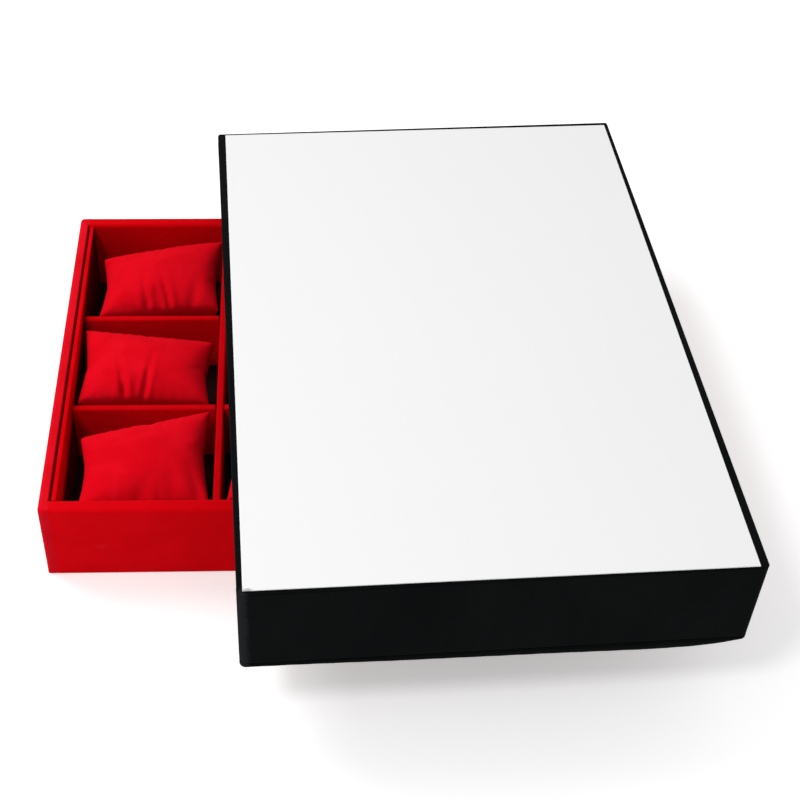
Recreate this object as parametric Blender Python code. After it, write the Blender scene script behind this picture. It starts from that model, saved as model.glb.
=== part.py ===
# Watch display tray: a red velvet tray with twelve watch pillows, and its black velvet
# box-shaped cover with a white top sheet, which lies crosswise on the tray's rim.
# Metres, +Z up. The origin is the centre of the tray's underside.
# X runs along the tray's length, Y along its depth, from front to back.

import math

import bmesh
import bpy
from mathutils import Matrix, Vector

mm = 0.001

# Gap kept between neighbouring pieces
clearance = 0.3 * mm

# Tray
tray_length = 344 * mm
tray_depth = 240 * mm
tray_height = 49 * mm
end_wall_thickness = 5.2 * mm
long_wall_thickness = 8 * mm
groove_width = 1.1 * mm
liner_thickness = 2.5 * mm
liner_drop = 0.8 * mm
base_thickness = 2.5 * mm
floor_thickness = 1.2 * mm
rim_radius = 1.9 * mm
tray_corner_radius = 2.8 * mm
foot_radius = 0.6 * mm
liner_radius = 0.6 * mm
joint_radius = 0.25 * mm
rounding_steps = 3
divider_rounding_steps = 2

# Dividers
column_count = 4
row_count = 3
divider_thickness = 4 * mm
divider_top = 41 * mm
divider_radius = 0.9 * mm
slot_clearance = 0.25 * mm
front_row_depth = 72 * mm
middle_row_depth = 69.5 * mm

# Cover
cover_width = 237 * mm
cover_length = 349 * mm
cover_height = 52 * mm
cover_board_thickness = 6 * mm
cover_top_thickness = 4 * mm
cover_rim_radius = 2.6 * mm
cover_corner_radius = 2.8 * mm
cover_edge_radius = 0.7 * mm
cover_corner = Vector((-68.7 * mm, -215.5 * mm, 0))
cover_turn = math.radians(2.9)

# White sheet on the cover, glued on a little askew
sheet_thickness = 0.6 * mm
sheet_margin_side = 3.6 * mm
sheet_margin_front = 1.2 * mm
sheet_margin_back = 3.4 * mm
sheet_turn = math.radians(-0.32)

# Pillows. The seam lies a little under the dividers' tops, and its edges pull in between the ears.
pillow_crown = 8.5 * mm
pillow_seam_drop = 1.6 * mm
pillow_pinch_side = 3.6 * mm
pillow_pinch_end = 1.2 * mm
pucker_height = 0.5 * mm
pucker_length = 8 * mm
pucker_reach = 0.09
top_fullness = 0.6
belly_fullness = 0.5
belly_growth = 1.25

# Heights and places that follow from the dimensions
base_top = base_thickness
floor_bottom = base_top + clearance
floor_top = floor_bottom + floor_thickness
divider_bottom = floor_top + clearance
liner_top = tray_height - liner_drop
end_build_up = end_wall_thickness + groove_width + liner_thickness
inner_length = tray_length - 2 * end_build_up
inner_depth = tray_depth - 2 * long_wall_thickness
column_width = (inner_length - (column_count - 1) * divider_thickness) / column_count
back_row_depth = inner_depth - front_row_depth - middle_row_depth - 2 * divider_thickness
row_depths = (front_row_depth, middle_row_depth, back_row_depth)
cover_base = tray_height + clearance
pillow_seam_height = divider_top - pillow_seam_drop

# Angles that decide which edges are rounded and which stay crisp in shading
bevel_from_angle = math.radians(40)
sharp_from_angle = math.radians(35)


def clear_scene():
    for item in list(bpy.data.objects):
        bpy.data.objects.remove(item, do_unlink=True)


def make_material(name, colour, roughness, metallic=0.0):
    material = bpy.data.materials.new(name)
    material.use_nodes = True
    shader = material.node_tree.nodes["Principled BSDF"]
    shader.inputs["Base Color"].default_value = (*colour, 1.0)
    shader.inputs["Roughness"].default_value = roughness
    shader.inputs["Metallic"].default_value = metallic
    return material


def add_object(name, mesh, finish, parent=None):
    item = bpy.data.objects.new(name, mesh)
    bpy.context.scene.collection.objects.link(item)
    mesh.materials.append(make_material(name + "_finish", *finish))
    item.parent = parent
    return item


# Solid of one closed outline, drawn in a plane and given a thickness
def extruded_mesh(name, outline, thickness, to_world):
    mesh = bpy.data.meshes.new(name)
    shape = bmesh.new()
    corners = [shape.verts.new((x, y, 0)) for x, y in outline]
    face = shape.faces.new(corners)
    sides = bmesh.ops.extrude_face_region(shape, geom=[face])
    moved = [part for part in sides["geom"] if isinstance(part, bmesh.types.BMVert)]
    bmesh.ops.translate(shape, verts=moved, vec=(0, 0, thickness))
    bmesh.ops.transform(shape, matrix=to_world, verts=shape.verts)
    bmesh.ops.recalc_face_normals(shape, faces=shape.faces)
    shape.to_mesh(mesh)
    shape.free()
    return mesh


# Board between two corners. Outward is the direction its outer face looks in. Its radii are those
# of the upper edge outside, the upper edge inside, the edges at its two ends, the lower edges, and
# the two upright corners of the outer face.
def add_board(name, low, high, outward, radii, finish, parent=None):
    low = Vector(low)
    high = Vector(high)
    upper_outer, upper_inner, upper_end, lower, corner = radii
    facing = Vector(outward)
    mesh = bpy.data.meshes.new(name)
    shape = bmesh.new()
    bmesh.ops.create_cube(shape, size=1.0)
    bmesh.ops.scale(shape, vec=high - low, verts=shape.verts)
    weights = []
    largest = max(radii)
    for edge in shape.edges:
        middle = (edge.verts[0].co + edge.verts[1].co) / 2
        upright = abs(edge.verts[0].co.z - edge.verts[1].co.z) > 0
        outside = middle.to_2d().dot(facing)
        if upright:
            radius = corner if outside > 0 else joint_radius
        elif middle.z < 0:
            radius = lower if outside != 0 else min(lower, upper_end)
        elif outside > 0:
            radius = upper_outer
        elif outside < 0:
            radius = upper_inner
        else:
            radius = upper_end
        weights.append(radius / largest)
    shape.to_mesh(mesh)
    shape.free()
    layer = mesh.attributes.new("bevel_weight_edge", "FLOAT", "EDGE")
    layer.data.foreach_set("value", weights)
    board = add_object(name, mesh, finish, parent)
    board.location = (low + high) / 2
    add_bevel(board, largest, rounding_steps, "WEIGHT")
    return board


def add_bevel(item, radius, segments, limit):
    bevel = item.modifiers.new("rounded_edges", "BEVEL")
    bevel.width = radius
    bevel.segments = segments
    bevel.limit_method = limit
    bevel.angle_limit = bevel_from_angle
    item.data.shade_smooth()
    item.data.set_sharp_from_angle(angle=sharp_from_angle)


# Velvet-wrapped walls. The end walls run the full depth, and the long walls stand between them.
def add_walls():
    half_length = tray_length / 2
    half_depth = tray_depth / 2
    wall_inner = half_length - end_wall_thickness
    radii = (rim_radius, liner_radius, rim_radius, foot_radius, tray_corner_radius)
    for side, name in ((-1, "tray_left_wall"), (1, "tray_right_wall")):
        across = sorted((side * half_length, side * wall_inner))
        low = (across[0], -half_depth, 0)
        high = (across[1], half_depth, tray_height)
        add_board(name, low, high, (side, 0), radii, tray_velvet)
    long_reach = wall_inner - clearance
    long_inner = half_depth - long_wall_thickness
    radii = (rim_radius, rim_radius, joint_radius, foot_radius, joint_radius)
    for side, name in ((-1, "tray_front_wall"), (1, "tray_back_wall")):
        along = sorted((side * half_depth, side * long_inner))
        low = (-long_reach, along[0], 0)
        high = (long_reach, along[1], tray_height)
        add_board(name, low, high, (0, side), radii, tray_velvet)


# Thin velvet liners inside the end walls, each leaving the narrow groove seen on the rim
def add_liners():
    face = inner_length / 2
    reach = inner_depth / 2 - clearance
    radii = (liner_radius, liner_radius, joint_radius, joint_radius, joint_radius)
    for side, name in ((-1, "tray_left_liner"), (1, "tray_right_liner")):
        across = sorted((side * face, side * (face + liner_thickness)))
        low = (across[0], -reach, divider_bottom)
        high = (across[1], reach, liner_top)
        add_board(name, low, high, (side, 0), radii, tray_velvet)


def add_bottom():
    reach_x = tray_length / 2 - end_wall_thickness - clearance
    reach_y = inner_depth / 2 - clearance
    radii = (joint_radius,) * 5
    low = (-reach_x, -reach_y, 0)
    high = (reach_x, reach_y, base_top)
    add_board("tray_base_board", low, high, (0, -1), radii, base_fibreboard)
    low = (-reach_x, -reach_y, floor_bottom)
    high = (reach_x, reach_y, floor_top)
    add_board("tray_floor_lining", low, high, (0, -1), radii, dark_lining)


# Lower edges of the cells and their dividers, measured from the first cell's start
def cell_starts(sizes):
    starts = []
    place = 0.0
    for size in sizes:
        starts.append(place)
        place += size + divider_thickness
    return starts


# Outline of a divider board: a rectangle with slots cut from its top or from its bottom
def slotted_outline(length, height, slot_centres, from_top):
    half_slot = divider_thickness / 2 + slot_clearance
    depth = height / 2 + clearance / 2
    outline = [(0, 0)]
    if not from_top:
        for centre in slot_centres:
            outline.append((centre - half_slot, 0))
            outline.append((centre - half_slot, depth))
            outline.append((centre + half_slot, depth))
            outline.append((centre + half_slot, 0))
    outline.append((length, 0))
    outline.append((length, height))
    if from_top:
        for centre in reversed(slot_centres):
            outline.append((centre + half_slot, height))
            outline.append((centre + half_slot, height - depth))
            outline.append((centre - half_slot, height - depth))
            outline.append((centre - half_slot, height))
    outline.append((0, height))
    return outline


# Interlocking dividers: the long ones are slotted from the top, the cross ones from below
def add_dividers():
    column_starts = cell_starts([column_width] * column_count)
    row_starts = cell_starts(row_depths)
    half = divider_thickness / 2
    column_centres = [start - half for start in column_starts[1:]]
    row_centres = [start - half for start in row_starts[1:]]
    height = divider_top - divider_bottom
    left = -inner_length / 2
    front = -inner_depth / 2

    upright_x = Matrix(((1, 0, 0, 0), (0, 0, 1, 0), (0, 1, 0, 0), (0, 0, 0, 1)))
    length = inner_length - 2 * clearance
    slots = [centre - clearance for centre in column_centres]
    outline = slotted_outline(length, height, slots, True)
    for number, centre in enumerate(row_centres, start=1):
        name = f"long_divider_{number}"
        mesh = extruded_mesh(name, outline, divider_thickness, upright_x)
        board = add_object(name, mesh, tray_velvet)
        board.location = (left + clearance, front + centre - half, divider_bottom)
        add_bevel(board, divider_radius, divider_rounding_steps, "ANGLE")

    upright_y = Matrix(((0, 0, 1, 0), (1, 0, 0, 0), (0, 1, 0, 0), (0, 0, 0, 1)))
    depth = inner_depth - 2 * clearance
    slots = [centre - clearance for centre in row_centres]
    outline = slotted_outline(depth, height, slots, False)
    for number, centre in enumerate(column_centres, start=1):
        name = f"cross_divider_{number}"
        mesh = extruded_mesh(name, outline, divider_thickness, upright_y)
        board = add_object(name, mesh, tray_velvet)
        board.location = (left + centre - half, front + clearance, divider_bottom)
        add_bevel(board, divider_radius, divider_rounding_steps, "ANGLE")


# How far a stuffed pillow swells at a place on it: 0 on the seam, 1 in the middle
def swelling(u, v, power):
    return (math.sin(math.pi * u) * math.sin(math.pi * v)) ** power


# A fold is a groove that starts at the front seam (v = 0) and fades out towards the back
def fold_depth(u, v, folds):
    total = 0.0
    for start, slant, width, depth, reach in folds:
        middle = start + slant * v
        fade = max(0.0, 1.0 - v / reach)
        total += depth * fade * math.exp(-((u - middle) / width) ** 2)
    return total


# Small gathers along the front and back seams, which fade out on the top of the pillow
def pucker_rise(across, v):
    near_seam = math.exp(-min(v, 1 - v) / pucker_reach)
    return pucker_height * near_seam * math.sin(2 * math.pi * across / pucker_length)


# One watch pillow. Its four ears lie on the seam, the edges pull in between them, the top is
# crowned, and the underside is pressed flat on the floor of the cell.
def add_pillow(name, ears, crown, folds, steps_x, steps_y):
    front_left, front_right, back_left, back_right = [Vector(ear) for ear in ears]
    rest = floor_top + clearance
    shape = bmesh.new()

    def seam_place(u, v):
        front = front_left.lerp(front_right, u)
        back = back_left.lerp(back_right, u)
        place = front.lerp(back, v)
        place.x += pillow_pinch_side * (1 - (2 * v - 1) ** 2) * (1 - 2 * u)
        place.y += pillow_pinch_end * (1 - (2 * u - 1) ** 2) * (1 - 2 * v)
        return place

    top = {}
    bottom = {}
    for i in range(steps_x + 1):
        for j in range(steps_y + 1):
            u = (1 - math.cos(math.pi * i / steps_x)) / 2
            v = (1 - math.cos(math.pi * j / steps_y)) / 2
            place = seam_place(u, v)
            on_seam = i in (0, steps_x) or j in (0, steps_y)
            if on_seam:
                vertex = shape.verts.new(place)
                top[i, j] = vertex
                bottom[i, j] = vertex
                continue
            upper = place.copy()
            upper.z += crown * swelling(u, v, top_fullness) - fold_depth(u, v, folds)
            upper.z += pucker_rise(place.x, v)
            lower = place.copy()
            lower.z -= (place.z - rest) * min(1.0, belly_growth * swelling(u, v, belly_fullness))
            lower.z = max(lower.z, rest)
            top[i, j] = shape.verts.new(upper)
            bottom[i, j] = shape.verts.new(lower)
    for i in range(steps_x):
        for j in range(steps_y):
            shape.faces.new((top[i, j], top[i + 1, j], top[i + 1, j + 1], top[i, j + 1]))
            shape.faces.new((bottom[i, j], bottom[i, j + 1], bottom[i + 1, j + 1], bottom[i + 1, j]))
    mesh = bpy.data.meshes.new(name)
    shape.to_mesh(mesh)
    shape.free()
    mesh.shade_smooth()
    add_object(name, mesh, pillow_velvet)


# Seam corners of one pillow from the insets of its ears in the cell
def pillow_ears(column, row, insets):
    left = -inner_length / 2 + cell_starts([column_width] * column_count)[column]
    front = -inner_depth / 2 + cell_starts(row_depths)[row]
    right = left + column_width
    back = front + row_depths[row]
    places = []
    for inset, edge_x, edge_y, sign_x, sign_y in zip(
        insets, (left, right, left, right), (front, front, back, back), (1, -1, 1, -1), (1, 1, -1, -1)
    ):
        across, along, rise = inset
        x = edge_x + sign_x * across * mm
        y = edge_y + sign_y * along * mm
        places.append((x, y, pillow_seam_height + rise * mm))
    return places


# Ear insets in millimetres from the cell's corners, and rise above the usual seam height:
# front left, front right, back left, back right. The first three lie as the photograph shows.
pillow_lies = {
    (0, 2): ((7.2, 3.0, -3.0), (1.0, 8.0, -1.5), (6.6, 22.0, 0.5), (-0.8, 8.0, 3.2)),
    (0, 1): ((1.6, 4.0, -1.0), (3.8, 3.0, -2.0), (1.2, 7.4, 0.8), (2.0, 20.4, 2.2)),
    (0, 0): ((8.0, 4.0, -4.0), (1.4, 5.0, -2.0), (6.2, 20.0, 0.5), (2.4, 3.8, 4.4)),
}
plain_lies = (
    ((3.0, 5.0, -1.5), (2.4, 6.0, -1.0), (4.0, 10.5, 1.0), (3.0, 9.0, 1.5)),
    ((2.2, 7.0, -1.0), (4.0, 4.0, -2.0), (3.0, 8.5, 1.5), (2.6, 12.0, 1.0)),
    ((4.4, 4.0, -2.0), (3.0, 8.0, -0.5), (2.4, 10.5, 1.0), (4.2, 9.0, 0.5)),
)

# Folds: place across the front seam, slant, width, depth in metres, and reach towards the back
pillow_folds = {
    (0, 2): ((0.43, -0.26, 0.035, 2.2 * mm, 0.65), (0.58, -0.24, 0.03, 2.4 * mm, 0.65),
             (0.76, 0.08, 0.05, 1.6 * mm, 0.5)),
    (0, 1): ((0.43, -0.23, 0.035, 3.2 * mm, 0.75), (0.49, 0.2, 0.035, 2.8 * mm, 0.75)),
    (0, 0): ((0.9, -0.2, 0.05, 1.8 * mm, 0.6),),
}
plain_folds = (
    ((0.42, -0.1, 0.04, 2.4 * mm, 0.8), (0.6, 0.1, 0.04, 1.8 * mm, 0.6)),
    ((0.36, 0.08, 0.04, 2.0 * mm, 0.7),),
    ((0.5, -0.06, 0.04, 2.6 * mm, 0.8), (0.7, 0.12, 0.04, 1.8 * mm, 0.5)),
)


def add_pillows():
    for column in range(column_count):
        for row in range(row_count):
            cell = (column, row)
            pattern = (column + 2 * row) % len(plain_lies)
            insets = pillow_lies.get(cell, plain_lies[pattern])
            folds = pillow_folds.get(cell, plain_folds[pattern])
            steps = (14, 10) if cell in pillow_lies else (9, 7)
            name = f"pillow_column_{column + 1}_row_{row + 1}"
            add_pillow(name, pillow_ears(column, row, insets), pillow_crown, folds, *steps)


# Box-shaped cover, open below. It is placed and turned by one empty at its front left corner.
def add_cover():
    place = bpy.data.objects.new("cover_place", None)
    bpy.context.scene.collection.objects.link(place)
    place.location = (cover_corner.x, cover_corner.y, cover_base)
    place.rotation_euler.z = cover_turn

    board = cover_board_thickness
    edge = cover_edge_radius
    rim = cover_rim_radius
    radii = (edge, joint_radius, edge, rim, cover_corner_radius)
    for name, side, near, far in (
        ("cover_front_board", -1, 0, board),
        ("cover_back_board", 1, cover_length - board, cover_length),
    ):
        low = (0, near, 0)
        high = (cover_width, far, cover_height)
        add_board(name, low, high, (0, side), radii, cover_velvet, place)
    near_y = board + clearance
    far_y = cover_length - board - clearance
    radii = (edge, joint_radius, joint_radius, rim, joint_radius)
    for name, side, near, far in (
        ("cover_left_board", -1, 0, board),
        ("cover_right_board", 1, cover_width - board, cover_width),
    ):
        low = (near, near_y, 0)
        high = (far, far_y, cover_height)
        add_board(name, low, high, (side, 0), radii, cover_velvet, place)
    radii = (joint_radius,) * 5
    low = (board + clearance, near_y, cover_height - cover_top_thickness)
    high = (cover_width - board - clearance, far_y, cover_height)
    add_board("cover_top_board", low, high, (0, -1), radii, cover_velvet, place)

    half_width = cover_width / 2 - sheet_margin_side
    half_length = (cover_length - sheet_margin_front - sheet_margin_back) / 2
    low = (-half_width, -half_length, 0)
    high = (half_width, half_length, sheet_thickness)
    sheet = add_board("cover_white_sheet", low, high, (0, -1), radii, white_sheet, place)
    middle = cover_height + clearance + sheet_thickness / 2
    sheet.location = (cover_width / 2, sheet_margin_front + half_length, middle)
    sheet.rotation_euler.z = sheet_turn


# Finishes: colour, roughness
tray_velvet = ((0.62, 0.004, 0.012), 0.95)
pillow_velvet = ((0.66, 0.005, 0.016), 0.95)
base_fibreboard = ((0.03, 0.028, 0.03), 0.85)
dark_lining = ((0.012, 0.008, 0.008), 0.95)
cover_velvet = ((0.008, 0.009, 0.01), 0.9)
white_sheet = ((0.9, 0.9, 0.9), 0.5)


def build():
    clear_scene()
    add_walls()
    add_liners()
    add_bottom()
    add_dividers()
    add_pillows()
    add_cover()


build()
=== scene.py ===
# Watch display tray with its cover: velvet, stuffed pillows and the white top sheet
import math

import bmesh
import bpy
import numpy as np
from mathutils import Euler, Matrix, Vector


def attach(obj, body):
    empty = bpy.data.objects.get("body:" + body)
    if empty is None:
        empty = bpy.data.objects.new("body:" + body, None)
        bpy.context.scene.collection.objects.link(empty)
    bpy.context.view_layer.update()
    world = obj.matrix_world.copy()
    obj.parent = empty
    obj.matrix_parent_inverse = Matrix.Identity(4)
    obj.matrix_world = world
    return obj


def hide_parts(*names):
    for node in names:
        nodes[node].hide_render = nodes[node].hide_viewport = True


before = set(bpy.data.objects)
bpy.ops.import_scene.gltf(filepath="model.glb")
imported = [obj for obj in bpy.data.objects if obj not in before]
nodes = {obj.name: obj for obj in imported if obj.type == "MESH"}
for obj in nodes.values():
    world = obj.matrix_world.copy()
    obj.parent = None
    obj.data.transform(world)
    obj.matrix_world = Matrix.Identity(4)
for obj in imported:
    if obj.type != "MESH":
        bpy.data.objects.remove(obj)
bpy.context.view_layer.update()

mm = 0.001
arcSteps = 6  # steps in a quarter turn of a rounded edge
print("frame loaded:", len(nodes), "nodes")


# Camera

camera = {
    "place": (-0.04618, -0.61491, 0.61178),
    "turnDegrees": (45.542, -1.145, -1.813),
    "lens": 66.80,
    "sensor": 36.0,
    "shiftX": 0.0734,
    "nearest": 0.01,
}


def addCamera():
    data = bpy.data.cameras.new("photoCamera")
    data.lens = camera["lens"]
    data.sensor_width = camera["sensor"]
    data.shift_x = camera["shiftX"]
    data.clip_start = camera["nearest"]
    item = bpy.data.objects.new("photoCamera", data)
    item.location = camera["place"]
    item.rotation_euler = Euler([math.radians(a) for a in camera["turnDegrees"]], "XYZ")
    bpy.context.scene.collection.objects.link(item)
    bpy.context.scene.camera = item


addCamera()
print("camera placed")


# Node helpers

def newMaterial(name):
    material = bpy.data.materials.new(name)
    material.use_nodes = True
    tree = material.node_tree
    tree.nodes.clear()
    output = addNode(tree, "ShaderNodeOutputMaterial", 700, 0)
    return material, tree, output


def addNode(tree, kind, x, y, **settings):
    node = tree.nodes.new(kind)
    node.location = (x, y)
    for name, value in settings.items():
        setattr(node, name, value)
    return node


# Links a socket, or sets a plain value
def feed(tree, source, socket):
    if isinstance(source, bpy.types.NodeSocket):
        tree.links.new(source, socket)
    elif isinstance(source, (int, float)):
        socket.default_value = source
    else:
        socket.default_value = (*source, 1.0) if len(source) == 3 and socket.type == "RGBA" else source


def mixColours(tree, x, y, factor, first, second):
    node = addNode(tree, "ShaderNodeMix", x, y, data_type="RGBA")
    feed(tree, factor, node.inputs[0])
    feed(tree, first, node.inputs[6])
    feed(tree, second, node.inputs[7])
    return node.outputs[2]


def calculate(tree, x, y, operation, *values):
    node = addNode(tree, "ShaderNodeMath", x, y, operation=operation)
    for value, socket in zip(values, node.inputs):
        feed(tree, value, socket)
    return node.outputs[0]


def calculateVector(tree, x, y, operation, *values):
    node = addNode(tree, "ShaderNodeVectorMath", x, y, operation=operation)
    for value, socket in zip(values, node.inputs):
        feed(tree, value, socket)
    return node.outputs["Value" if operation in ("DOT_PRODUCT", "LENGTH") else "Vector"]


def remap(tree, x, y, value, fromLow, fromHigh, toLow=0.0, toHigh=1.0):
    node = addNode(tree, "ShaderNodeMapRange", x, y, interpolation_type="SMOOTHSTEP")
    for socket, number in zip(node.inputs[1:5], (fromLow, fromHigh, toLow, toHigh)):
        feed(tree, number, socket)
    feed(tree, value, node.inputs[0])
    return node.outputs[0]


noiseSpread = (0.3, 0.7)  # where most values of a noise lie


def addNoise(tree, x, y, place, scale, detail=2.0, distortion=0.0):
    node = addNode(tree, "ShaderNodeTexNoise", x, y)
    feed(tree, place, node.inputs["Vector"])
    feed(tree, scale, node.inputs["Scale"])
    feed(tree, detail, node.inputs["Detail"])
    feed(tree, distortion, node.inputs["Distortion"])
    return node.outputs


def objectPlace(tree, x, y):
    return addNode(tree, "ShaderNodeTexCoord", x, y).outputs["Object"]


def newGroup(name, inputs, outputs):
    group = bpy.data.node_groups.new(name, "ShaderNodeTree")
    for label, kind, value in inputs:
        socket = group.interface.new_socket(label, in_out="INPUT", socket_type=kind)
        socket.default_value = value
    for label, kind in outputs:
        group.interface.new_socket(label, in_out="OUTPUT", socket_type=kind)
    start = addNode(group, "NodeGroupInput", -900, 0)
    end = addNode(group, "NodeGroupOutput", 900, 0)
    return group, start.outputs, end.inputs


def useGroup(tree, group, x, y, values):
    node = addNode(tree, "ShaderNodeGroup", x, y, node_tree=group)
    for label, value in values.items():
        feed(tree, value, node.inputs[label])
    return node.outputs


# Closes a material with its shader and bump. The look gives specular, bumpStrength and bumpDepth.
def finishMaterial(tree, output, look, colour, roughness, height):
    shader = addNode(tree, "ShaderNodeBsdfPrincipled", 400, 0)
    feed(tree, colour, shader.inputs["Base Color"])
    feed(tree, roughness, shader.inputs["Roughness"])
    shader.inputs["Specular IOR Level"].default_value = look["specular"]
    bump = addNode(tree, "ShaderNodeBump", 100, -350)
    bump.inputs["Strength"].default_value = look["bumpStrength"]
    bump.inputs["Distance"].default_value = look["bumpDepth"]
    feed(tree, height, bump.inputs["Height"])
    feed(tree, bump.outputs["Normal"], shader.inputs["Normal"])
    feed(tree, shader.outputs[0], output.inputs["Surface"])
    return shader


# Velvet pile: brushed patches, fine tufts, the height of both, and painted shade

pileForm = {
    "patchDetail": 3.0,
    "patchDistortion": 0.6,
    "patchRange": (0.35, 0.68),
    "tuftHeight": 0.6,  # beside the patches' height of 1
    "paintedShadeFacing": (0.05, 0.6),  # how squarely a face has to meet the painted shade's direction
    "paintedShadeDepth": (-0.004, 0.007),  # metres below the painted shade's upper border
    "paintedShadeColour": (0.015, 0.0, 0.0),
    "roughness": (0.82, 0.98),
}


def makeVelvetPile():
    group, given, made = newGroup(
        "velvetPile",
        [
            ("Lit Colour", "NodeSocketColor", (0.8, 0.01, 0.02, 1)),
            ("Deep Colour", "NodeSocketColor", (0.4, 0.0, 0.0, 1)),
            ("Patch Scale", "NodeSocketFloat", 38.0),
            ("Patch Strength", "NodeSocketFloat", 0.5),
            ("Tuft Scale", "NodeSocketFloat", 1500.0),
            ("Tuft Strength", "NodeSocketFloat", 0.25),
            ("Stretch", "NodeSocketVector", (1.0, 1.0, 1.0)),
            ("Painted Shade", "NodeSocketVector", (0.0, 0.0, 0.0)),
            ("Painted Shade Strength", "NodeSocketFloat", 0.0),
            ("Painted Shade Top", "NodeSocketFloat", 1.0),
            ("Painted Shade Slope", "NodeSocketFloat", 0.0),
        ],
        [("Colour", "NodeSocketColor"), ("Roughness", "NodeSocketFloat"), ("Height", "NodeSocketFloat")],
    )
    place = objectPlace(group, -1300, -300)
    stretched = calculateVector(group, -1100, -300, "MULTIPLY", place, given["Stretch"])
    patches = addNoise(
        group, -650, 200, stretched, given["Patch Scale"], pileForm["patchDetail"], pileForm["patchDistortion"]
    )["Fac"]
    tufts = addNoise(group, -650, -200, place, given["Tuft Scale"])["Fac"]
    patchMask = remap(group, -420, 200, patches, *pileForm["patchRange"])
    patchAmount = calculate(group, -200, 200, "MULTIPLY", patchMask, given["Patch Strength"])
    tuftMask = remap(group, -420, -200, tufts, *noiseSpread)
    tuftAmount = calculate(group, -200, -200, "MULTIPLY", tuftMask, given["Tuft Strength"])
    darkness = calculate(group, 50, 0, "ADD", patchAmount, tuftAmount)
    colour = mixColours(group, 300, 150, darkness, given["Lit Colour"], given["Deep Colour"])
    # Painted shade: faces turned the given way, and lying below a given height, are mixed towards a near-black
    # red
    facing = addNode(group, "ShaderNodeNewGeometry", -420, 550).outputs["Normal"]
    along = calculateVector(group, -200, 550, "DOT_PRODUCT", facing, given["Painted Shade"])
    paintedShadeMask = remap(group, 50, 550, along, *pileForm["paintedShadeFacing"])
    axes = addNode(group, "ShaderNodeSeparateXYZ", -650, 800)
    feed(group, place, axes.inputs[0])
    border = calculate(group, -420, 800, "MULTIPLY_ADD", axes.outputs["Y"], given["Painted Shade Slope"], given["Painted Shade Top"])
    under = calculate(group, -200, 800, "SUBTRACT", border, axes.outputs["Z"])
    depthMask = remap(group, 50, 800, under, *pileForm["paintedShadeDepth"])
    paintedShadeArea = calculate(group, 200, 600, "MULTIPLY", paintedShadeMask, depthMask)
    paintedShadeAmount = calculate(group, 400, 450, "MULTIPLY", paintedShadeArea, given["Painted Shade Strength"])
    feed(group, mixColours(group, 550, 250, paintedShadeAmount, colour, pileForm["paintedShadeColour"]), made["Colour"])
    feed(group, remap(group, 300, -100, patches, *noiseSpread, *pileForm["roughness"]), made["Roughness"])
    height = calculate(group, 300, -300, "MULTIPLY_ADD", tufts, pileForm["tuftHeight"], patchMask)
    feed(group, height, made["Height"])
    return group


# Lint, dust and small rubs: a mask of scattered specks

speckForm = {
    "bendScale": 420.0,
    "bend": 0.0016,  # metres, makes the specks ragged
}


def makeSpecks():
    group, given, made = newGroup(
        "scatteredSpecks",
        [
            ("Spacing Scale", "NodeSocketFloat", 60.0),
            ("Speck Size", "NodeSocketFloat", 0.08),
            ("Share", "NodeSocketFloat", 0.2),
        ],
        [("Mask", "NodeSocketFloat")],
    )
    place = objectPlace(group, -1300, 0)
    bent = addNoise(group, -1100, -200, place, speckForm["bendScale"])["Color"]
    shifted = calculateVector(group, -850, -100, "MULTIPLY_ADD", bent, [speckForm["bend"]] * 3, place)
    cellNode = addNode(group, "ShaderNodeTexVoronoi", -600, 0)
    feed(group, shifted, cellNode.inputs["Vector"])
    feed(group, given["Spacing Scale"], cellNode.inputs["Scale"])
    near = calculate(group, -350, 50, "LESS_THAN", cellNode.outputs["Distance"], given["Speck Size"])
    pick = addNode(group, "ShaderNodeSeparateColor", -350, -150)
    feed(group, cellNode.outputs["Color"], pick.inputs[0])
    chosen = calculate(group, -100, -150, "LESS_THAN", pick.outputs[0], given["Share"])
    feed(group, calculate(group, 200, 0, "MULTIPLY", near, chosen), made["Mask"])
    return group


velvetPile = makeVelvetPile()
scatteredSpecks = makeSpecks()


# A rubbed or fuzzy patch: an ellipsoid with a ragged border, mixed over a colour

markBorder = {
    "raggedness": 0.9,
    "start": 0.7,  # where the mark begins to fade, as a share of its reach with the raggedness added
    "end": 1.5,
}


def addMark(tree, colour, mark):
    place = objectPlace(tree, -1500, -700)
    offset = calculateVector(tree, -1300, -700, "SUBTRACT", place, mark["place"])
    scaled = calculateVector(tree, -1100, -700, "DIVIDE", offset, mark["reach"])
    distance = calculateVector(tree, -900, -700, "LENGTH", scaled)
    ragged = addNoise(tree, -1100, -900, place, mark["grain"])["Fac"]
    border = calculate(tree, -700, -700, "MULTIPLY_ADD", ragged, markBorder["raggedness"], distance)
    amount = remap(tree, -500, -700, border, markBorder["start"], markBorder["end"], mark["strength"], 0.0)
    return mixColours(tree, -250, -700, amount, colour, mark["colour"])


# What every velvet has unless its own look says otherwise
plainVelvetLook = {
    "stretch": (1.0, 1.0, 1.0),
    "paintedShade": (0.0, 0.0, 0.0),  # faces turned this way get painted shade
    "paintedShadeStrength": 0.0,
    "paintedShadeTop": 1.0,  # metres: the painted shade shows below this height, which changes by paintedShadeSlope along Y
    "paintedShadeSlope": 0.0,
    "lintSize": 0.05,
    "lintShare": 0.1,
    "specular": 0.02,
    "bumpStrength": 0.35,
    "bumpDepth": 0.0004,
    "marks": (),
}


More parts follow.
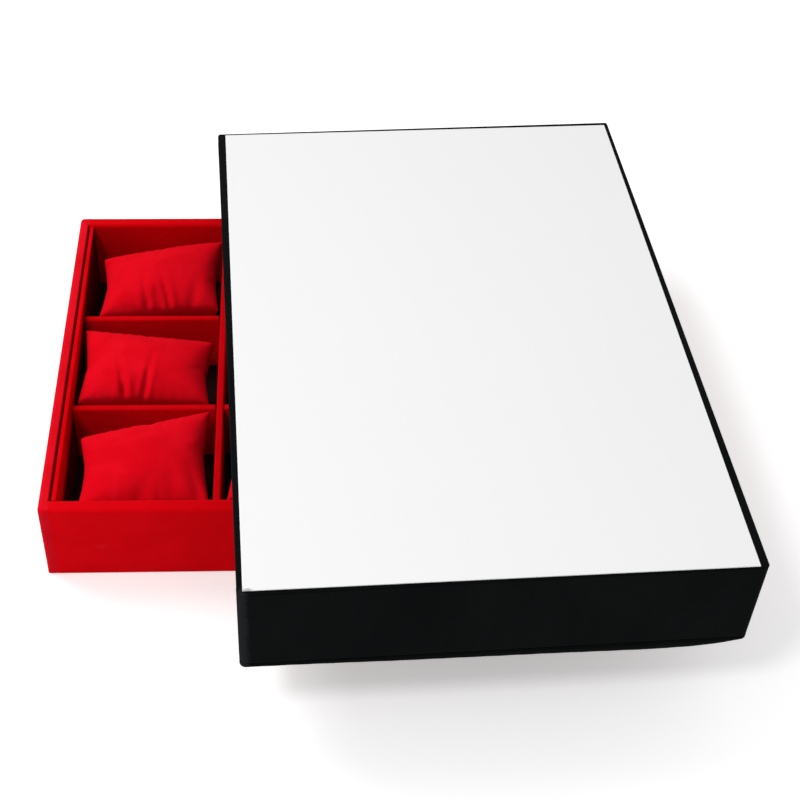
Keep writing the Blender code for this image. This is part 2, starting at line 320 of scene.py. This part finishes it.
def makeVelvet(name, look):
    material, tree, output = newMaterial(name)
    pile = useGroup(tree, velvetPile, -600, 0, {
        "Lit Colour": look["litColour"],
        "Deep Colour": look["deepColour"],
        "Patch Scale": look["patchScale"],
        "Patch Strength": look["patchStrength"],
        "Tuft Scale": look["tuftScale"],
        "Tuft Strength": look["tuftStrength"],
        "Stretch": look["stretch"],
        "Painted Shade": look["paintedShade"],
        "Painted Shade Strength": look["paintedShadeStrength"],
        "Painted Shade Top": look["paintedShadeTop"],
        "Painted Shade Slope": look["paintedShadeSlope"],
    })
    # Painted highlight: faces seen at a grazing angle are mixed towards a paler colour
    facing = addNode(tree, "ShaderNodeLayerWeight", -900, 300)
    facing.inputs["Blend"].default_value = look["highlightBlend"]
    glow = calculate(tree, -600, 300, "MULTIPLY", facing.outputs["Facing"], look["highlightStrength"])
    bright = mixColours(tree, -300, 200, glow, pile["Colour"], look["highlightColour"])
    lint = useGroup(tree, scatteredSpecks, -600, -350, {
        "Spacing Scale": look["lintScale"],
        "Speck Size": look["lintSize"],
        "Share": look["lintShare"],
    })
    lintAmount = calculate(tree, -300, -350, "MULTIPLY", lint["Mask"], look["lintStrength"])
    colour = mixColours(tree, -50, 150, lintAmount, bright, look["lintColour"])
    for mark in look["marks"]:
        colour = addMark(tree, colour, mark)
    shader = finishMaterial(tree, output, look, colour, pile["Roughness"], pile["Height"])
    shader.inputs["Sheen Weight"].default_value = look["sheen"]
    shader.inputs["Sheen Roughness"].default_value = look["sheenRoughness"]
    shader.inputs["Sheen Tint"].default_value = (*look["sheenTint"], 1)
    return material


# Pieces

def paint(item, material):
    item.data.materials.clear()
    item.data.materials.append(material)


def newPiece(name, points, faces, material):
    mesh = bpy.data.meshes.new(name)
    mesh.from_pydata(points, [], faces)
    mesh.shade_smooth()
    item = bpy.data.objects.new(name, mesh)
    bpy.context.scene.collection.objects.link(item)
    paint(item, material)
    return item


# Faces between rows of points that are all as long
def joinRows(rowCount, rowLength, closed=False):
    faces = []
    for row in range(rowCount - 1):
        here = rowLength * row
        after = here + rowLength
        for j in range(rowLength if closed else rowLength - 1):
            k = (j + 1) % rowLength
            faces.append([here + j, here + k, after + k, after + j])
    return faces


# Tray: red flocked velvet over boards

trayVelvetLook = {
    **plainVelvetLook,
    "litColour": (0.82, 0.0006, 0.005),
    "deepColour": (0.62, 0.0, 0.001),
    "patchScale": 30.0,
    "patchStrength": 0.35,
    "tuftScale": 1400.0,
    "tuftStrength": 0.3,
    "stretch": (1.0, 1.0, 1.6),
    "highlightBlend": 0.35,
    "highlightStrength": 0.35,
    "highlightColour": (0.95, 0.004, 0.012),
    "lintScale": 26.0,
    "lintStrength": 0.35,
    "lintColour": (0.9, 0.12, 0.14),
    "sheen": 0.1,
    "sheenRoughness": 0.45,
    "sheenTint": (1.0, 0.08, 0.14),
    # Painted shade: faces turned towards +X, away from the key light, are darkened
    "paintedShade": (0.9, 0.0, 0.0),
    "paintedShadeStrength": 0.6,
}
# Painted shade: the dividers are a darker copy of the tray velvet
dividerLook = {
    **trayVelvetLook,
    "litColour": (0.72, 0.0006, 0.005),
    "deepColour": (0.54, 0.0, 0.001),
}
# Painted light: the left wall is a lighter copy of the tray velvet, so its rim shows brighter
brightRimLook = {
    **trayVelvetLook,
    "litColour": (0.88, 0.004, 0.014),
    "highlightColour": (0.98, 0.02, 0.045),
}
# The front wall is a lighter copy of the tray velvet, which paints light on its face, and its faces turned up and
# back get painted shade; it also has a small rub
frontLook = {
    **trayVelvetLook,
    "litColour": (0.97, 0.001, 0.007),
    "deepColour": (0.78, 0.0, 0.002),
    "paintedShade": (0.0, 0.2, 0.45),
    "paintedShadeStrength": 0.22,
    "marks": (
        {
            "place": (-0.1415, -0.12, 0.0215),
            "reach": (0.0045, 0.003, 0.0022),
            "grain": 900.0,
            "strength": 0.3,
            "colour": (0.95, 0.02, 0.05),
        },
    ),
}
# Painted shade: the left liner is darkened low down in the cells, below a line that slants along Y, as a cast
# shadow
linerLook = {
    **trayVelvetLook,
    "highlightStrength": 0.03,
    "sheen": 0.02,
    "paintedShadeStrength": 0.93,
    "paintedShadeTop": 0.041,
    "paintedShadeSlope": 0.1,
}

trayVelvet = makeVelvet("trayVelvet", trayVelvetLook)
dividerVelvet = makeVelvet("dividerVelvet", dividerLook)
for name in nodes:
    if "divider" in name:
        paint(nodes[name], dividerVelvet)
    elif name.endswith(("_wall", "_liner")):
        paint(nodes[name], trayVelvet)
paint(nodes["tray_left_wall"], makeVelvet("paintedLighterVelvet", brightRimLook))
paint(nodes["tray_front_wall"], makeVelvet("frontVelvet", frontLook))
paint(nodes["tray_left_liner"], makeVelvet("linerVelvet", linerLook))


# Velvet's raised edge over a seam between two boards: it climbs the outer face and crosses the rim.
# Sizes are in millimetres, and outer and inner are measured outwards from the piece's middle line.

traySeam = {
    "across": 166.65,
    "outer": 120.0,
    "inner": 112.2,
    "top": 49.0,
    "foot": 0.8,
    "rounding": 1.9,
    "halfWidth": 0.55,
    "lift": 0.14,
    "tuck": 0.1,  # the edge's sides are sunk into the boards
}


def addSeamEdge(name, seam, middle, outward, material):
    up = Vector((0, 0, 1))
    along = up.cross(outward)
    reach = seam["rounding"]
    profile = [(seam["outer"], seam["foot"], outward)]
    for centre, start in ((seam["outer"] - reach, 0), (seam["inner"] + reach, 90)):
        for step in range(arcSteps + 1):
            angle = math.radians(start + 90 * step / arcSteps)
            way = math.cos(angle) * outward + math.sin(angle) * up
            height = seam["top"] - reach + reach * math.sin(angle)
            profile.append((centre + reach * math.cos(angle), height, way))
    across = ((-1, -seam["tuck"]), (0, seam["lift"]), (1, -seam["tuck"]))
    points = []
    for depth, height, way in profile:
        for side, lift in across:
            point = middle + depth * outward + height * up + side * seam["halfWidth"] * along + lift * way
            points.append(point * mm)
    item = newPiece(name, points, joinRows(len(profile), len(across)), material)
    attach(item, "root")


# Name of each corner's seam, with the sides it lies on
def seamCorners(start):
    return [
        (f"{start}_{sideName}_{endName}", sideX, sideY)
        for sideX, sideName in ((-1, "left"), (1, "right"))
        for sideY, endName in ((-1, "front"), (1, "back"))
    ]


# Painted highlight: the seam edges take the lighter left-wall velvet, so they show as a pale line
seamHighlightVelvet = makeVelvet("seamHighlightVelvet", {**brightRimLook, "paintedShadeStrength": 0.0})
for name, sideX, sideY in seamCorners("traySeamEdge"):
    middle = Vector((sideX * traySeam["across"], 0, 0))
    addSeamEdge(name, traySeam, middle, Vector((0, sideY, 0)), seamHighlightVelvet)


# Floor lining and base board of the tray

# The lining's near-black colour is painted shade: the cells' floor is seen only in deep shade
floorLiningLook = {
    "colour": (0.026, 0.006, 0.006),
    "darker": (0.016, 0.004, 0.004),
    "roughness": 0.97,
    "roughnessSpread": 0.08,
    "grainScale": 900.0,
    "grainDetail": 6.0,
    "specular": 0.2,
    "bumpStrength": 0.4,
    "bumpDepth": 0.0003,
}
baseBoardLook = {
    **floorLiningLook,
    "colour": (0.035, 0.03, 0.03),
    "darker": (0.02, 0.018, 0.018),
    "roughness": 0.9,
    "grainScale": 300.0,
    "bumpStrength": 0.3,
}


def makePlainBoard(name, look):
    material, tree, output = newMaterial(name)
    place = objectPlace(tree, -900, 0)
    grain = addNoise(tree, -650, 0, place, look["grainScale"], look["grainDetail"])["Fac"]
    shade = remap(tree, -400, 0, grain, *noiseSpread)
    colour = mixColours(tree, -100, 100, shade, look["colour"], look["darker"])
    smoothest = look["roughness"] - look["roughnessSpread"]
    roughness = remap(tree, -100, -150, grain, *noiseSpread, smoothest, look["roughness"])
    finishMaterial(tree, output, look, colour, roughness, grain)
    return material


paint(nodes["tray_floor_lining"], makePlainBoard("floorLining", floorLiningLook))
paint(nodes["tray_base_board"], makePlainBoard("baseBoard", baseBoardLook))
print("tray covered in velvet")


# Cover: black flocked velvet, white sheet on top

coverVelvetLook = {
    **plainVelvetLook,
    "litColour": (0.0037, 0.0048, 0.0049),
    "deepColour": (0.0022, 0.0025, 0.0027),
    "patchScale": 22.0,
    "patchStrength": 0.4,
    "tuftScale": 1300.0,
    "tuftStrength": 0.3,
    "stretch": (1.0, 1.0, 0.5),
    "highlightBlend": 0.25,
    "highlightStrength": 0.4,
    "highlightColour": (0.022, 0.024, 0.025),
    "lintScale": 24.0,
    "lintStrength": 0.25,
    "lintColour": (0.04, 0.04, 0.042),
    "sheen": 0.012,
    "sheenRoughness": 0.5,
    "sheenTint": (0.85, 0.95, 1.0),
    "marks": (
        {  # painted highlight: the front left corner is painted paler, as a rounded corner catching the light
            "place": (-0.0664, -0.2150, 0.076),
            "reach": (0.0030, 0.0050, 0.2),
            "grain": 500.0,
            "strength": 0.85,
            "colour": (0.021, 0.0225, 0.025),
        },
    ),
}
coverVelvet = makeVelvet("coverVelvet", coverVelvetLook)
for name in nodes:
    if name.startswith("cover_") and name.endswith("_board"):
        paint(nodes[name], coverVelvet)

coverSeam = {
    "corner": (-68.7, -215.5),  # the cover's front left corner, in millimetres
    "turnDegrees": 2.9,
    "width": 237.0,
    "depth": 349.0,
    "board": 6.15,
    "outer": 118.5,
    "inner": 112.3,
    "top": 101.3,
    "foot": 50.1,
    "rounding": 2.6,
    "halfWidth": 0.55,
    "lift": 0.12,
    "tuck": 0.1,
}
coverCorner = Vector((*coverSeam["corner"], 0))
coverTurn = Euler((0, 0, math.radians(coverSeam["turnDegrees"]))).to_matrix()
for name, sideX, sideY in seamCorners("coverSeamEdge"):
    seamY = coverSeam["board"] if sideY < 0 else coverSeam["depth"] - coverSeam["board"]
    middle = coverCorner + coverTurn @ Vector((coverSeam["width"] / 2, seamY, 0))
    addSeamEdge(name, coverSeam, middle, coverTurn @ Vector((sideX, 0, 0)), coverVelvet)


# A black velvet strip below the front board, deepest near the right, turns round both corners. It is partly the
# cover's own lower edge and partly painted shade: a dark band put where the floor under the board's edge is in
# shadow

coverHemAndShade = {
    "belowBoard": (  # millimetres from the left, and how deep the strip reaches below the board there
        (0, 0.9), (9, 1.1), (27, 1.3), (50, 1.9), (74, 2.6), (97, 2.9), (120, 3.3), (144, 3.6),
        (167, 4.2), (191, 4.7), (209, 4.4), (220, 3.5), (229, 2.0), (234, 0.8), (237, 0.2),
    ),
    "ripple": 0.08,
    "rippleLength": 13.0,
    "thickness": 0.9,
    "nick": 0.1,  # rounds the lower edge
    "shoulder": 0.2,
    "boardFoot": 49.3,
    "above": 1.6,  # how far it reaches up over the board's face
    "cornerRadius": 2.8,
    "sideLength": 14.0,
    "sideSteps": 6,
    "frontSteps": 60,
    "lift": 0.06,
}


# Places along the strip seen from above, each with the direction that leads outwards
def hemAndShadePath():
    width = coverSeam["width"]
    length = coverHemAndShade["sideLength"]
    radius = coverHemAndShade["cornerRadius"]
    sideSteps = np.linspace(0, length - radius, coverHemAndShade["sideSteps"])
    frontSteps = np.linspace(radius, width - radius, coverHemAndShade["frontSteps"])

    def turnCorner(middle, start):
        angles = [math.radians(start + 90 * step / arcSteps) for step in range(1, arcSteps)]
        ways = [(math.cos(angle), math.sin(angle)) for angle in angles]
        return [(middle + radius * outX, radius + radius * outY, outX, outY) for outX, outY in ways]

    return (
        [(0.0, length - step, -1.0, 0.0) for step in sideSteps]
        + turnCorner(radius, 180)
        + [(x, 0.0, 0.0, -1.0) for x in frontSteps]
        + turnCorner(width - radius, 270)
        + [(width, radius + step, 1.0, 0.0) for step in sideSteps]
    )


def addCoverHemAndShade():
    strip = coverHemAndShade
    half = strip["thickness"] / 2
    foot = strip["boardFoot"]
    top = foot + strip["above"]
    path = hemAndShadePath()
    points = []
    for x, y, outX, outY in path:
        belowBoard = np.interp(x, *zip(*strip["belowBoard"])) * max(0.0, 1 - y / strip["sideLength"])
        belowBoard += strip["ripple"] * math.sin(2 * math.pi * (x + y) / strip["rippleLength"])
        low = foot - max(belowBoard, 0.0)
        section = (
            (strip["lift"], top),
            (strip["lift"], low + half),
            (-strip["shoulder"], low + strip["nick"]),
            (-half, low),
            (strip["shoulder"] - strip["thickness"], low + strip["nick"]),
            (-strip["thickness"], low + half),
            (-strip["thickness"], top),
        )
        for outward, height in section:
            place = coverCorner + coverTurn @ Vector((x + outward * outX, y + outward * outY, height))
            points.append(place * mm)
    count = len(section)
    faces = joinRows(len(path), count, closed=True)
    faces.append(list(range(count))[::-1])
    faces.append([count * (len(path) - 1) + j for j in range(count)])
    item = newPiece("coverHemAndShade", points, faces, coverVelvet)
    work = bmesh.new()
    work.from_mesh(item.data)
    bmesh.ops.recalc_face_normals(work, faces=work.faces)
    work.to_mesh(item.data)
    work.free()
    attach(item, "root")


addCoverHemAndShade()


topSheet = {
    "colour": (0.975, 0.975, 0.975),
    "mottle": (0.96, 0.96, 0.963),
    "mottleScale": 14.0,
    "mottleDetail": 4.0,
    "roughness": 0.42,
    "roughnessSpread": 0.05,
    "speckScale": 30.0,
    "speckSize": 0.03,
    "speckShare": 0.08,
    "speckStrength": 0.12,
    "speckColour": (0.6, 0.6, 0.62),
    "specular": 0.3,
    "bumpStrength": 0.05,
    "bumpDepth": 0.0002,
    "smudge": {  # front left corner
        "place": (-0.0640, -0.2129, 0.1022),
        "reach": (0.0030, 0.0012, 0.01),
        "grain": 700.0,
        "strength": 0.8,
        "colour": (0.42, 0.40, 0.43),
    },
}


def makeTopSheet():
    look = topSheet
    material, tree, output = newMaterial("whiteSheet")
    place = objectPlace(tree, -1300, 0)
    mottle = addNoise(tree, -900, 200, place, look["mottleScale"], look["mottleDetail"])["Fac"]
    base = mixColours(tree, -500, 200, mottle, look["colour"], look["mottle"])
    marked = addMark(tree, base, look["smudge"])
    specks = useGroup(tree, scatteredSpecks, -500, -500, {
        "Spacing Scale": look["speckScale"],
        "Speck Size": look["speckSize"],
        "Share": look["speckShare"],
    })
    speckAmount = calculate(tree, -250, -500, "MULTIPLY", specks["Mask"], look["speckStrength"])
    colour = mixColours(tree, 150, 50, speckAmount, marked, look["speckColour"])
    spread = (look["roughness"] - look["roughnessSpread"], look["roughness"] + look["roughnessSpread"])
    roughness = remap(tree, 150, -150, mottle, *noiseSpread, *spread)
    finishMaterial(tree, output, look, colour, roughness, mottle)
    return material


paint(nodes["cover_white_sheet"], makeTopSheet())
print("cover dressed")


# Pillows: two panels sewn edge to edge, blown up with cloth, then laid in their cells

pillow = {
    "panelSteps": (40, 34),
    "panelWidth": 0.08,
    "panelRatio": 0.86,  # depth to width of the cut panels
    "panelLift": 0.02,  # the panels start this share of their width apart
    "simulationScale": 10.0,  # panels are simulated ten times as large
    "stiffness": 18,
    "stiffnessStep": 4,  # more for each variant
    "pressure": 4.0,
    "pressureStep": 0.1,  # share more for each variant
    "frames": 24,
    "smoothing": 3,
    "clothShare": 0.35,  # the rest of the sides' pull is an even curve
    "fullPull": 0.995,  # share of the points whose pull counts as at most 1
    "quickSwell": 0.55,
    "seamHeight": 39.4,  # millimetres above the table, as are the rises below
    "crown": 8.8,
    "underFill": 1.3,
    "pinchSide": 3.1,  # how far the seam pulls in between two ears
    "pinchEnd": 1.2,
    "topFullness": 0.72,  # below 1, the top rises more steeply from its seam
    "foldStart": (0.3, 8.0),  # depth of the folds at the seam, and its growth inwards
    "puckerLength": 6.3,
    "puckerDepth": 0.55,
    "puckerReach": 0.07,
    "puckerShift": (2.1, 1.3),  # moves the puckers from column to column and row to row
    "finePucker": (0.5, 1.7, 1.0),  # share, rate and shift of a second wave
    "frontCalm": 0.4,  # the front seam puckers less than the back one
    "fullness": 0.62,
}

# Cells: left edges of the columns, front edges and depths of the rows, in millimetres
cells = {
    "left": (-163.2, -80.6, 2.0, 84.6),
    "width": 78.6,
    "front": (-112.0, -36.0, 37.5),
    "depth": (72.0, 69.5, 74.5),
    "floor": 4.5,
}

# Ears of each pillow: inset across and along from its cell's corner, and rise above the seam
# height, for the front left, front right, back left and back right ear.
seenLies = {
    (1, 3): ((7.2, 3.0, -3.0), (1.0, 8.0, -1.5), (6.6, 22.0, 0.5), (-0.8, 8.0, 3.2)),
    (1, 2): ((1.6, 4.0, -1.0), (3.8, 3.0, -2.0), (1.2, 7.4, 0.8), (2.0, 20.4, 2.2)),
    (1, 1): ((8.0, 4.0, -4.0), (1.4, 5.0, -2.0), (6.2, 20.0, 0.5), (2.4, 3.8, 4.4)),
}
hiddenLies = (
    ((3.0, 5.0, -1.5), (2.4, 6.0, -1.0), (4.0, 10.5, 1.0), (3.0, 9.0, 1.5)),
    ((2.2, 7.0, -1.0), (4.0, 4.0, -2.0), (3.0, 8.5, 1.5), (2.6, 12.0, 1.0)),
    ((4.4, 4.0, -2.0), (3.0, 8.0, -0.5), (2.4, 10.5, 1.0), (4.2, 9.0, 0.5)),
)

# Folds from the front seam: place across it, slant, width, depth in millimetres, reach backwards
seenFolds = {
    (1, 3): ((0.40, -0.08, 0.018, 1.0, 0.60), (0.61, -0.24, 0.016, 1.2, 0.60), (0.78, 0.08, 0.03, 0.6, 0.5)),
    (1, 2): ((0.365, -0.13, 0.016, 2.0, 0.66), (0.505, 0.08, 0.014, 1.9, 0.66)),
    (1, 1): ((0.93, -0.22, 0.035, 0.9, 0.45),),
}
hiddenFolds = (
    ((0.42, -0.1, 0.028, 2.2, 0.8), (0.62, 0.1, 0.026, 1.8, 0.6)),
    ((0.36, 0.08, 0.028, 2.0, 0.7), (0.74, -0.1, 0.026, 1.6, 0.5)),
    ((0.5, -0.06, 0.028, 2.4, 0.8), (0.7, 0.12, 0.026, 1.6, 0.5)),
)
# A fold's groove and the shoulder beside it, in widths of the fold
foldForm = {
    "fade": 0.8,
    "sharpness": 1.5,
    "shoulder": 0.45,
    "shoulderPlace": 2.6,
    "shoulderWidth": 1.3,
}
# How far the middle of the back seam bows backwards, in millimetres
seenBows = {(1, 3): 2.8, (1, 2): 0.8, (1, 1): 1.0}

pillowVelvetLook = {
    **plainVelvetLook,
    "litColour": (0.88, 0.003, 0.014),
    "deepColour": (0.68, 0.0, 0.003),
    "patchScale": 55.0,
    "patchStrength": 0.35,
    "tuftScale": 1700.0,
    "tuftStrength": 0.22,
    "highlightBlend": 0.4,
    "highlightStrength": 0.2,
    "highlightColour": (0.97, 0.006, 0.02),
    "lintScale": 34.0,
    "lintStrength": 0.2,
    "lintColour": (0.9, 0.1, 0.13),
    "sheen": 0.08,
    "sheenRoughness": 0.4,
    "sheenTint": (1.0, 0.1, 0.18),
    "bumpStrength": 0.3,
    # Painted shade: the pillows' right sides and front slopes are darkened
    "paintedShade": (0.9, -0.75, -0.1),
    "paintedShadeStrength": 0.5,
}
pillowVelvet = makeVelvet("pillowVelvet", pillowVelvetLook)


# Two flat panels that share their border. Returns points, faces and each point's panel and place.
def cutPanels(stepsX, stepsY, width, depth):
    points = []
    places = []
    index = {}
    apart = pillow["panelLift"] * width
    for side in (1, -1):
        for i in range(stepsX + 1):
            for j in range(stepsY + 1):
                border = i in (0, stepsX) or j in (0, stepsY)
                if border and side < 0:
                    index[side, i, j] = index[1, i, j]
                    continue
                u = i / stepsX
                v = j / stepsY
                lift = 0.0 if border else side * apart * math.sin(math.pi * u) * math.sin(math.pi * v)
                index[side, i, j] = len(points)
                points.append(((u - 0.5) * width, (v - 0.5) * depth, lift))
                places.append((u, v, 0 if border else side))
    faces = []
    for i in range(stepsX):
        for j in range(stepsY):
            ring = [(i, j), (i + 1, j), (i + 1, j + 1), (i, j + 1)]
            faces.append([index[1, a, b] for a, b in ring])
            faces.append([index[-1, a, b] for a, b in reversed(ring)])
    return points, faces, np.array(places)


def blowUp(points, faces, variant):
    mesh = bpy.data.meshes.new("cutPanels")
    mesh.from_pydata(points, [], faces)
    item = bpy.data.objects.new("cutPanels", mesh)
    scene = bpy.context.scene
    scene.collection.objects.link(item)
    cloth = item.modifiers.new("cloth", "CLOTH")
    settings = cloth.settings
    settings.quality = 6
    settings.mass = 0.25
    settings.tension_stiffness = pillow["stiffness"] + pillow["stiffnessStep"] * variant
    settings.compression_stiffness = 10
    settings.shear_stiffness = 6
    settings.bending_stiffness = 0.6
    settings.tension_damping = 12
    settings.bending_damping = 1.5
    settings.use_pressure = True
    settings.uniform_pressure_force = pillow["pressure"] * (1 + pillow["pressureStep"] * variant)
    settings.effector_weights.gravity = 0
    cloth.collision_settings.use_collision = False
    cloth.point_cache.frame_start = 1
    cloth.point_cache.frame_end = pillow["frames"]
    for number in range(1, pillow["frames"] + 1):
        scene.frame_set(number)
    shaped = item.evaluated_get(bpy.context.evaluated_depsgraph_get())
    places = np.array([vertex.co for vertex in shaped.data.vertices])
    scene.frame_set(1)
    bpy.data.objects.remove(item)
    return places


def smoothPoints(points, faces, times):
    links = np.array([(face[k], face[(k + 1) % 4]) for face in faces for k in range(4)])
    for _ in range(times):
        total = np.zeros_like(points)
        count = np.zeros(len(points))
        for start, end in ((0, 1), (1, 0)):
            np.add.at(total, links[:, start], points[links[:, end]])
            np.add.at(count, links[:, start], 1)
        points = 0.5 * points + 0.5 * total / count[:, None]
    return points


# Blends four corners' values over the panel: front left, front right, back left, back right
def spreadCorners(corners, u, v):
    frontLeft, frontRight, backLeft, backRight = corners
    return (frontLeft * (1 - u) + frontRight * u) * (1 - v) + (backLeft * (1 - u) + backRight * u) * v


# An even pull towards the middle, strongest half way between two ears
def evenPull(along, across):
    return (1 - (2 * along - 1) ** 2) * (1 - 2 * across)


# Shape of one stuffed pillow: place on its seam's rectangle, pull of the sides and swelling,
# with the sides' pull and the swelling both 1 at their largest
def stuffedShape(variant):
    width = pillow["panelWidth"] * pillow["simulationScale"]
    points, faces, places = cutPanels(*pillow["panelSteps"], width, width * pillow["panelRatio"])
    u, v, side = places.T
    blown = smoothPoints(blowUp(points, faces, variant), faces, pillow["smoothing"])
    moved = blown - np.array(points)
    share = pillow["clothShare"]
    for axis, along, across in ((0, v, u), (1, u, v)):
        corners = [moved[(u == a) & (v == b)][0, axis] for b in (0, 1) for a in (0, 1)]
        pull = moved[:, axis] - spreadCorners(corners, u, v)
        pull /= np.quantile(np.abs(pull), pillow["fullPull"])
        moved[:, axis] = share * pull + (1 - share) * evenPull(along, across)
    moved[:, 2] = blown[:, 2] / np.abs(blown[:, 2]).max()
    return places, moved, faces


def foldDepth(u, v, folds):
    form = foldForm
    total = np.zeros_like(u)
    for start, slant, width, depth, reach in folds:
        fade = np.clip(1 - v / reach, 0, 1) ** form["fade"]
        across = np.abs((u - start - slant * v) / width)
        groove = np.exp(-across ** form["sharpness"])
        beside = (across - form["shoulderPlace"]) / form["shoulderWidth"]
        total += fade * depth * (groove - form["shoulder"] * np.exp(-beside ** 2))
    return total


# Places of a pillow's four ears in its cell
def earPlaces(column, row, lie):
    left = cells["left"][column - 1]
    front = cells["front"][row - 1]
    right = left + cells["width"]
    back = front + cells["depth"][row - 1]
    edges = ((left, front, 1, 1), (right, front, -1, 1), (left, back, 1, -1), (right, back, -1, -1))
    return [
        np.array((edgeX + signX * across, edgeY + signY * along, pillow["seamHeight"] + rise))
        for (across, along, rise), (edgeX, edgeY, signX, signY) in zip(lie, edges)
    ]


# Waves of the gathered cloth beside the front and back seams
def puckerHeight(x, u, v, column, row):
    shiftColumn, shiftRow = pillow["puckerShift"]
    share, rate, shift = pillow["finePucker"]
    phase = 2 * np.pi * x / pillow["puckerLength"] + shiftColumn * column + shiftRow * row
    wave = np.sin(phase) + share * np.sin(rate * phase + shift)
    nearSeam = np.exp(-np.minimum(v, 1 - v) / pillow["puckerReach"]) * np.sin(np.pi * u)
    calm = np.where(v < 0.5, pillow["frontCalm"], 1.0)
    return nearSeam * calm * wave * pillow["puckerDepth"]


def layPillow(column, row, places, moved, faces):
    number = (column - 1 + 2 * (row - 1)) % len(hiddenLies)
    lie = seenLies.get((column, row), hiddenLies[number])
    folds = seenFolds.get((column, row), hiddenFolds[number])
    bow = seenBows.get((column, row), 0.0)
    u, v, side = places.T
    points = spreadCorners(earPlaces(column, row, lie), u[:, None], v[:, None])
    points[:, 0] += pillow["pinchSide"] * moved[:, 0]
    points[:, 1] += pillow["pinchEnd"] * moved[:, 1]
    points[:, 1] += bow * (4 * u * (1 - u) * v)
    seam = points[:, 2].copy()
    rest = cells["floor"]
    rise = np.sign(moved[:, 2]) * np.abs(moved[:, 2]) ** pillow["topFullness"]
    points[:, 2] += np.where(rise > 0, rise * pillow["crown"], rise * (seam - rest) * pillow["underFill"])
    top = side >= 0
    foldLow, foldGrowth = pillow["foldStart"]
    inner = np.clip(foldLow + foldGrowth * np.minimum(v, 1 - v), 0, 1)
    points[:, 2] -= np.where(top, foldDepth(u, v, folds) * inner, 0)
    points[:, 2] += np.where(top, puckerHeight(points[:, 0], u, v, column, row), 0)
    points[:, 2] = np.maximum(points[:, 2], rest)
    placed = [tuple(point) for point in points * mm]
    item = newPiece(f"watchPillow_{column}_{row}", placed, faces, pillowVelvet)
    rounding = item.modifiers.new("rounding", "SUBSURF")
    rounding.levels = rounding.render_levels = 1
    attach(item, "root")
    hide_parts(f"pillow_column_{column}_row_{row}")


variants = [stuffedShape(number) for number in range(3)]
print("pillow panels blown up")
for column in range(1, len(cells["left"]) + 1):
    for row in range(1, len(cells["front"]) + 1):
        layPillow(column, row, *variants[(column + row) % len(variants)])
print("pillows laid in their cells")


# Floor, lights and world

studio = {
    "floorColour": (1.0, 1.0, 1.0),  # as the camera sees it
    "floorBounce": (0.8, 0.8, 0.8),  # what the floor sends back to the object
    "floorGlow": 0.4,  # seen by the camera only
    "floorReach": 6.0,
    "floorHeight": -0.0002,
    "skySeen": 1.0,
    "skyStrength": 0.66,
    "skyTilt": 0.6,  # share by which the sky is brighter behind the object and dimmer in front
    "lampTarget": (0.0, 0.0, 0.04),
    "keyStrength": 4.4,
    "keyPlace": (-0.5, -0.62, 1.15),
    "keySize": 0.28,
    "backStrength": 10.5,
    "backPlace": (-1.05, 0.65, 1.5),
    "backSize": 1.0,
}


# Rays that show a surface: straight from the camera, mirrored, or through something clear
def seenRay(tree, path):
    mirrored = calculate(tree, -600, 500, "MAXIMUM", path.outputs["Is Camera Ray"], path.outputs["Is Glossy Ray"])
    return calculate(tree, -450, 500, "MAXIMUM", mirrored, path.outputs["Is Transmission Ray"])


def makeFloor():
    material, tree, output = newMaterial("paleFloor")
    path = addNode(tree, "ShaderNodeLightPath", -800, 300)
    seen = seenRay(tree, path)
    matte = addNode(tree, "ShaderNodeBsdfDiffuse", 0, 100)
    colour = mixColours(tree, -300, 100, seen, studio["floorBounce"], studio["floorColour"])
    feed(tree, colour, matte.inputs["Color"])
    glow = addNode(tree, "ShaderNodeEmission", 0, -100)
    feed(tree, calculate(tree, -300, -100, "MULTIPLY", seen, studio["floorGlow"]), glow.inputs["Strength"])
    both = addNode(tree, "ShaderNodeAddShader", 300, 0)
    feed(tree, matte.outputs[0], both.inputs[0])
    feed(tree, glow.outputs[0], both.inputs[1])
    feed(tree, both.outputs[0], output.inputs["Surface"])
    reach = studio["floorReach"]
    corners = [(-reach, -reach, 0), (reach, -reach, 0), (reach, reach, 0), (-reach, reach, 0)]
    floor = newPiece("paleFloor", corners, [(0, 1, 2, 3)], material)
    floor.location.z = studio["floorHeight"]


def addSoftLight(name, place, size, strength):
    data = bpy.data.lights.new(name, "AREA")
    data.shape = "DISK"
    data.size = size
    data.energy = strength
    item = bpy.data.objects.new(name, data)
    item.location = place
    towards = Vector(studio["lampTarget"]) - Vector(place)
    item.rotation_euler = towards.to_track_quat("-Z", "Y").to_euler()
    bpy.context.scene.collection.objects.link(item)


def makeWorld():
    world = bpy.data.worlds.new("paleStudio")
    bpy.context.scene.world = world
    world.use_nodes = True
    tree = world.node_tree
    tree.nodes.clear()
    output = addNode(tree, "ShaderNodeOutputWorld", 400, 0)
    path = addNode(tree, "ShaderNodeLightPath", -800, 300)
    direction = addNode(tree, "ShaderNodeSeparateXYZ", -850, -200)
    feed(tree, addNode(tree, "ShaderNodeTexCoord", -1050, -200).outputs["Generated"], direction.inputs[0])
    tilted = calculate(tree, -650, -200, "MULTIPLY_ADD", direction.outputs["Y"], studio["skyTilt"], 1.0)
    strength = addNode(tree, "ShaderNodeMix", -250, 0, data_type="FLOAT")
    feed(tree, seenRay(tree, path), strength.inputs[0])
    feed(tree, calculate(tree, -450, -200, "MULTIPLY", tilted, studio["skyStrength"]), strength.inputs[2])
    feed(tree, studio["skySeen"], strength.inputs[3])
    sky = addNode(tree, "ShaderNodeBackground", 0, 0)
    feed(tree, strength.outputs[0], sky.inputs["Strength"])
    feed(tree, sky.outputs[0], output.inputs["Surface"])


makeFloor()
makeWorld()
addSoftLight("keyLight", studio["keyPlace"], studio["keySize"], studio["keyStrength"])
addSoftLight("backLight", studio["backPlace"], studio["backSize"], studio["backStrength"])
bpy.context.scene.view_settings.view_transform = "Standard"
print("floor and lights set")
